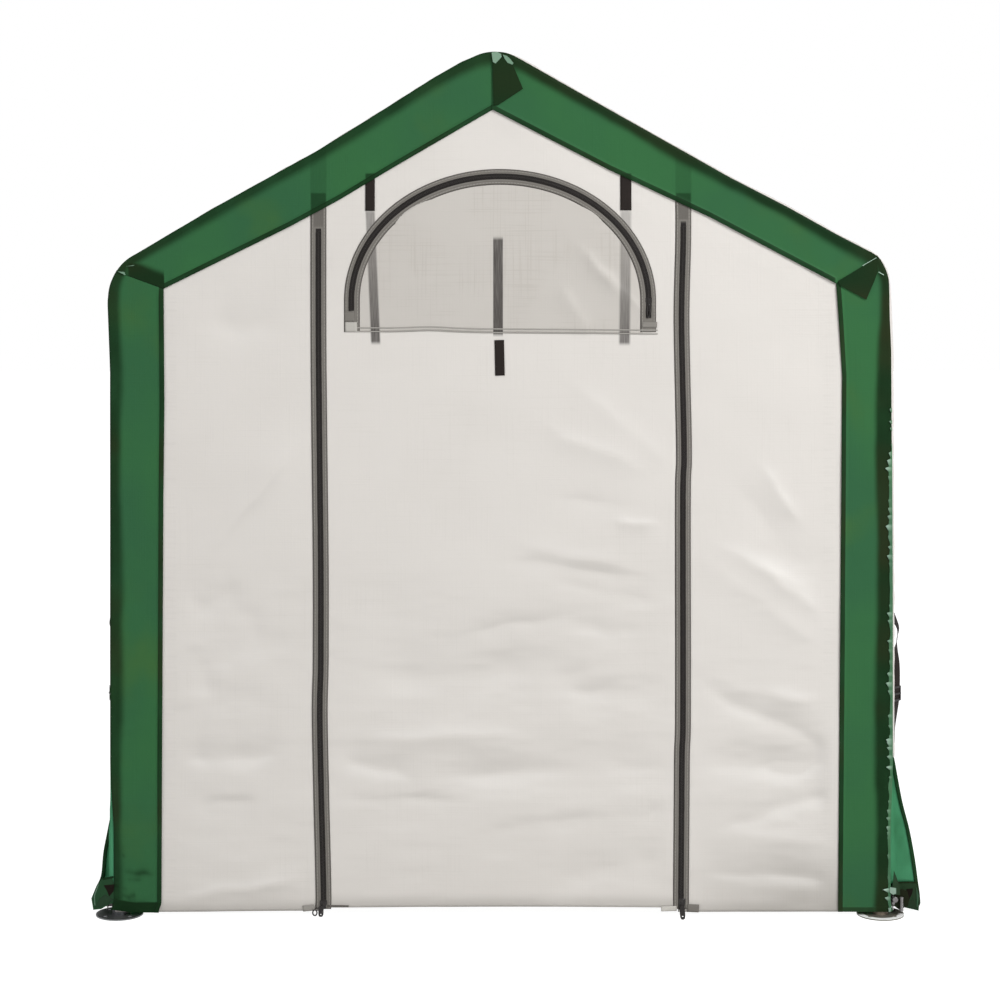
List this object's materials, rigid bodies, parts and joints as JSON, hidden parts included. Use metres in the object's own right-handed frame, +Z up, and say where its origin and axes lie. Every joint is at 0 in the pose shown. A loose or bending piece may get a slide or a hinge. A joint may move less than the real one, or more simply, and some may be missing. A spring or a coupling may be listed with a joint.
{
  "type": "walk-in peak-roof polytunnel greenhouse",
  "caption": "Walk-in greenhouse tent with a bent tube frame, translucent sheet cover, green border trim, zipped roll-up door and half-moon vents.",
  "frame": {"origin": "on the ground, in the middle of the plan, between the feet", "axes": "+X to the right seen from the door end, +Y from the door end to the rear, +Z up"},
  "size_m": [1.8758, 2.5076, 1.9799],
  "materials": {
    "tube_steel": "galvanised tube, satin",
    "plate_steel": "pressed plate, worn zinc",
    "cover_white": "translucent ripstop sheet",
    "trim_green": "woven coated green sheet",
    "zip_tape": "woven tape with dark nylon coil",
    "screen_mesh": "fine insect mesh",
    "webbing": "woven webbing",
    "buckle_plastic": "moulded"
  },
  "bodies": {
    "root": {"front_legs": "tube_steel", "middle_legs": "tube_steel", "rear_legs": "tube_steel", "front_rafters": "tube_steel", "middle_rafters": "tube_steel", "rear_rafters": "tube_steel", "eave_elbows": "tube_steel", "ridge_elbows": "tube_steel", "ridge_rail": "tube_steel", "left_eave_rail": "tube_steel", "right_eave_rail": "tube_steel", "left_base_rail": "tube_steel", "right_base_rail": "tube_steel", "foot_plates": "plate_steel", "rail_brackets": "plate_steel", "base_rail_clamps": "plate_steel", "left_wall_cover": "cover_white", "right_wall_cover": "cover_white", "left_roof_cover": "cover_white", "right_roof_cover": "cover_white", "front_left_panel": "cover_white", "front_right_panel": "cover_white", "door_panel": "cover_white", "rear_panel": "cover_white", "vent_flap": "cover_white", "rear_vent_flap": "cover_white", "left_skirt": "trim_green", "right_skirt": "trim_green", "front_leg_trims": "trim_green", "front_roof_trims": "trim_green", "rear_leg_trims": "trim_green", "rear_roof_trims": "trim_green", "left_door_zip": "zip_tape", "right_door_zip": "zip_tape", "vent_zip": "zip_tape", "rear_vent_zip": "zip_tape", "vent_screen": "screen_mesh", "rear_vent_screen": "screen_mesh", "vent_straps": "webbing", "door_tie_straps": "webbing", "left_side_straps": "webbing", "right_side_straps": "webbing", "left_side_buckles": "buckle_plastic", "right_side_buckles": "buckle_plastic"}
  },
  "joints": []
}
